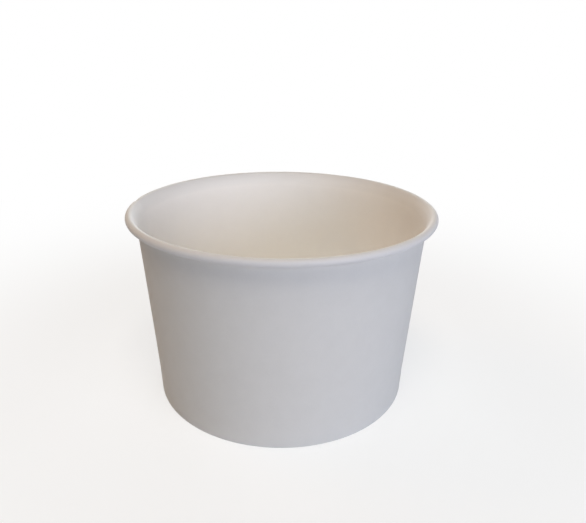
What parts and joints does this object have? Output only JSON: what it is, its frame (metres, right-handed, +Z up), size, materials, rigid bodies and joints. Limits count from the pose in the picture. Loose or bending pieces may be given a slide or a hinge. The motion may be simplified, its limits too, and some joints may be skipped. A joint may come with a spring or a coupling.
{
  "type": "paper sundae cup",
  "caption": "Low, wide tapered paper cup with a lapped side wall, a rolled rim and a bottom disc crimped into its base.",
  "frame": {"origin": "centre of the base, on the surface that the cup stands on", "axes": "+Z up along the cup's axis; -Y is the front, with the side seam on the -X side, just behind the outline seen from the front"},
  "size_m": [0.095, 0.095, 0.06],
  "materials": {
    "wall_board": "white bleached board, coated inside, satin",
    "bottom_board": "white bleached board, coated inside, satin"
  },
  "bodies": {
    "root": {"side_wall": "wall_board", "bottom_disc": "bottom_board"}
  },
  "joints": []
}
